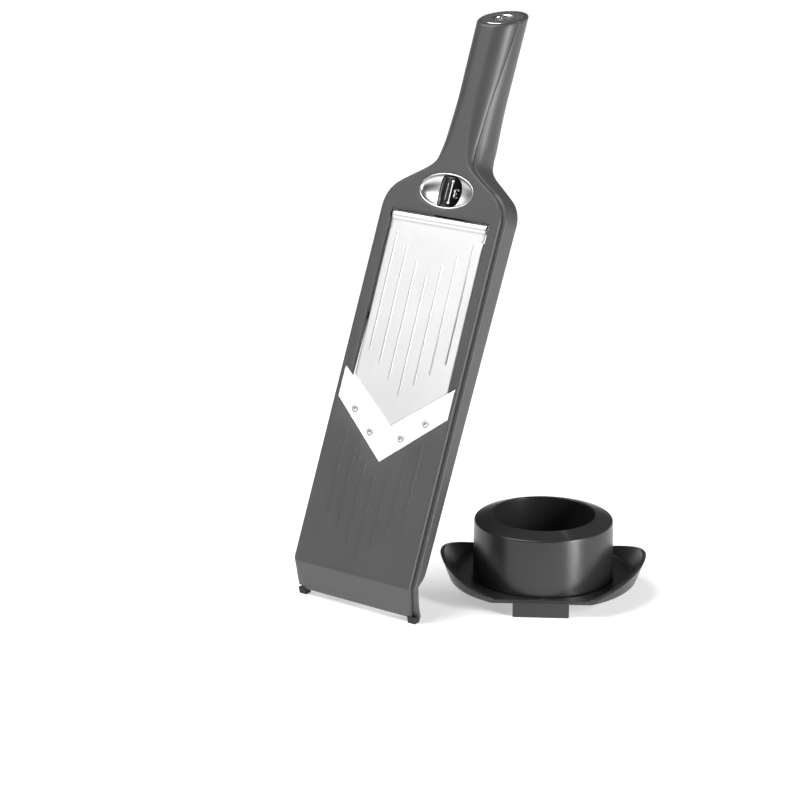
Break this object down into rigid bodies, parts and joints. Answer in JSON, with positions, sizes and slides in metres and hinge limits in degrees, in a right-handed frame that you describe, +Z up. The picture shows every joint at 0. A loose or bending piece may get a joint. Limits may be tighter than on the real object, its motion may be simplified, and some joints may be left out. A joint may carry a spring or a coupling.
{
  "type": "mandoline slicer",
  "caption": "Handheld V-blade mandoline with a steel ramp plate, thickness dial and round handle, leaning on its feet beside its round food holder.",
  "frame": {"origin": "on the table, under the middle of the set's bounding box", "axes": "+Z up from the table; +X across the slicer to its right as seen from its deck; +Y the way the slicer leans back"},
  "size_m": [0.1942, 0.1842, 0.3693],
  "materials": {
    "body_plastic": "fine satin charcoal moulding",
    "holder_plastic": "smooth satin dark grey moulding",
    "inner_plastic": "plain dark moulding",
    "dial_plastic": "gloss black with white marks",
    "blade_steel": "fine satin, ground cutting edge",
    "plate_steel": "brushed along its length",
    "screw_steel": "turned and polished",
    "bush_brass": "turned",
    "foot_rubber": "matt"
  },
  "bodies": {
    "slicer": {"upper_shell": "body_plastic", "lower_shell": "body_plastic", "hanging_eyelet": "plate_steel", "v_blade": "blade_steel", "blade_screw_left_1": "screw_steel", "blade_screw_right_1": "screw_steel", "blade_screw_left_2": "screw_steel", "blade_screw_right_2": "screw_steel", "hinge_pin": "screw_steel", "dial_cup": "plate_steel", "spindle_bush_lower": "bush_brass", "spindle_bush_upper": "bush_brass", "detent_spring": "screw_steel", "foot_left": "foot_rubber", "foot_right": "foot_rubber", "shell_screw_left_1": "screw_steel", "shell_screw_right_1": "screw_steel", "shell_screw_left_2": "screw_steel", "shell_screw_right_2": "screw_steel", "shell_screw_left_3": "screw_steel", "shell_screw_right_3": "screw_steel", "handle_screw_1": "screw_steel", "handle_screw_2": "screw_steel"},
    "dial": {"dial_drum": "dial_plastic", "dial_spindle": "screw_steel", "spindle_clip": "screw_steel"},
    "wedge": {"lift_wedge": "inner_plastic"},
    "ramp": {"ramp_plate": "plate_steel", "lift_shoe": "inner_plastic"},
    "holder": {"holder_tray": "holder_plastic", "holder_ring": "holder_plastic"},
    "pusher": {"pusher_disc": "holder_plastic", "spike_plate": "plate_steel"}
  },
  "joints": [
    {"name": "dial_turn", "type": "hinge", "parent": "slicer", "child": "dial", "pos_m": [-0.04708, 0.00001, 0.20825], "axis": [0, 0.3987, 0.9171], "range_deg": [-108, 216]},
    {"name": "wedge_travel", "type": "slide", "parent": "slicer", "child": "wedge", "axis": [0, 0.3987, 0.9171], "range_m": [-0.00365, 0.00725]},
    {"name": "ramp_tilt", "type": "hinge", "parent": "slicer", "child": "ramp", "pos_m": [-0.04708, 0.00547, 0.24164], "axis": [1, 0, 0], "range_deg": [-1.4, 2.8]},
    {"name": "holder_lift", "type": "slide", "parent": "slicer", "child": "holder", "axis": [0, 0, 1], "range_m": [0, 0.06]},
    {"name": "pusher_slide", "type": "slide", "parent": "holder", "child": "pusher", "axis": [0, 0, 1], "range_m": [0, 0.026]}
  ],
  "couplings": [
    {"joint": "wedge_travel", "follows": "dial_turn", "m_per_rad": 0.0019099},
    {"joint": "ramp_tilt", "follows": "dial_turn", "ratio": 0.01284}
  ]
}
